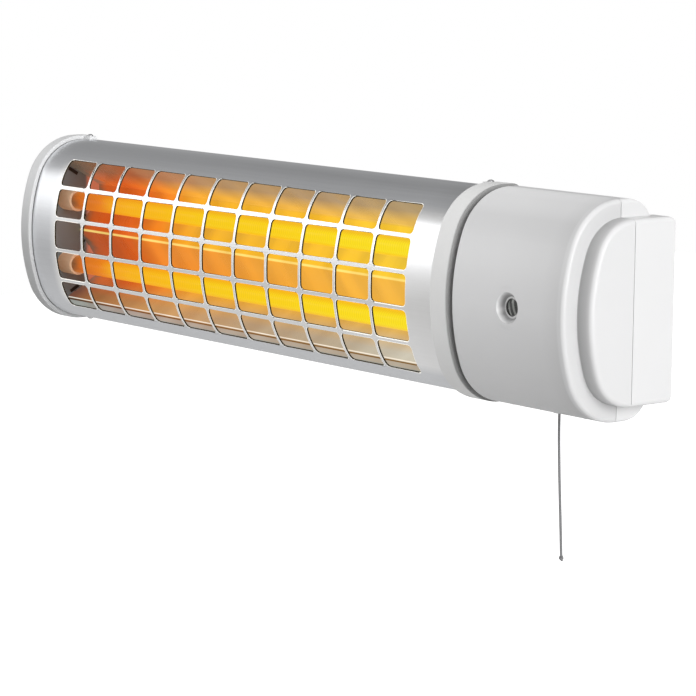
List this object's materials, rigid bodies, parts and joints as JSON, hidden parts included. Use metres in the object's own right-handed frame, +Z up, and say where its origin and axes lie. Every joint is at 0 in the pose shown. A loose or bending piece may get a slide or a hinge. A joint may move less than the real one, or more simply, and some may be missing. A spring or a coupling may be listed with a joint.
{
  "type": "quartz wall heater",
  "caption": "Wall-mounted quartz tube heater: a tilting drum with a punched, curved grille between a wall foot and a control housing with an indicator lens and a pull cord switch.",
  "frame": {"origin": "centre of the four wall screws, in the wall's plane", "axes": "+X along the heater towards the control housing, +Y from the room into the wall, +Z up"},
  "size_m": [0.581, 0.0741, 0.2154],
  "materials": {
    "grille_sheet": "satin",
    "cap_plastic": "satin",
    "housing_plastic": "satin",
    "back_steel": "galvanised",
    "fixings": "bright",
    "reflector_sheet": "polished",
    "end_plate_steel": "matt",
    "quartz": "clear",
    "coil_wire": "glowing",
    "tube_cap_ceramic": "matt",
    "contact_metal": "bright",
    "lead_sleeve": "woven glass sleeve",
    "dark_plastic": "satin",
    "friction_fibre": "fibre",
    "lens_clear": "clear",
    "lens_metal": "polished",
    "lamp_glass": "clear",
    "switch_plastic": "satin",
    "cord_braid": "braided",
    "grommet_rubber": "matt"
  },
  "bodies": {
    "wall_unit": {"friction_ring": "friction_fibre", "left_foot": "housing_plastic", "left_foot_cover": "housing_plastic", "foot_screw": "fixings", "front_housing": "housing_plastic", "rear_housing": "housing_plastic", "housing_screws": "fixings", "lens": "lens_clear", "lens_ring": "lens_metal", "indicator_lamp": "lamp_glass", "switch_case": "dark_plastic", "switch_cover": "dark_plastic", "switch_axle": "fixings", "switch_contacts": "contact_metal", "cord_bush": "housing_plastic", "terminal_block": "housing_plastic", "terminal_screws": "fixings", "cable_clamp": "housing_plastic", "clamp_screws": "fixings", "cable_grommet": "grommet_rubber"},
    "drum": {"grille_shell": "grille_sheet", "left_cap": "cap_plastic", "right_collar": "cap_plastic", "back_plate": "back_steel", "back_rivets": "fixings", "reflector": "reflector_sheet", "left_end_plate": "end_plate_steel", "right_end_plate": "end_plate_steel", "upper_tube": "quartz", "lower_tube": "quartz", "upper_coil": "coil_wire", "lower_coil": "coil_wire", "upper_left_tube_cap": "tube_cap_ceramic", "upper_right_tube_cap": "tube_cap_ceramic", "lower_left_tube_cap": "tube_cap_ceramic", "lower_right_tube_cap": "tube_cap_ceramic", "tube_terminals": "contact_metal", "end_link": "contact_metal", "return_lead": "lead_sleeve", "tube_leads": "lead_sleeve", "thermal_cutout": "dark_plastic", "cap_screws": "fixings", "wave_washer": "fixings"},
    "spool": {"cord_spool": "switch_plastic", "spool_spring": "fixings"},
    "rotor": {"ratchet_rotor": "switch_plastic"},
    "cord": {"cord_lead": "cord_braid", "pull_cord": "cord_braid", "cord_knot": "cord_braid"}
  },
  "joints": [
    {"name": "drum_tilt", "type": "hinge", "parent": "wall_unit", "child": "drum", "pos_m": [0, -0.031, 0], "axis": [1, 0, 0], "range_deg": [0, 15]},
    {"name": "spool_turn", "type": "hinge", "parent": "wall_unit", "child": "spool", "pos_m": [0.2255, -0.031, -0.042], "axis": [0, 1, 0], "range_deg": [0, 90], "stiffness_Nm_per_rad": 0.03, "springref_deg": -28.65},
    {"name": "cord_pull", "type": "slide", "parent": "wall_unit", "child": "cord", "axis": [0, 0, -1], "range_m": [0, 0.0095]},
    {"name": "rotor_turn", "type": "hinge", "parent": "wall_unit", "child": "rotor", "pos_m": [0.2255, -0.031, -0.042], "axis": [0, 1, 0], "continuous": true}
  ],
  "couplings": [
    {"joint": "cord_pull", "follows": "spool_turn", "m_per_rad": 0.006}
  ]
}
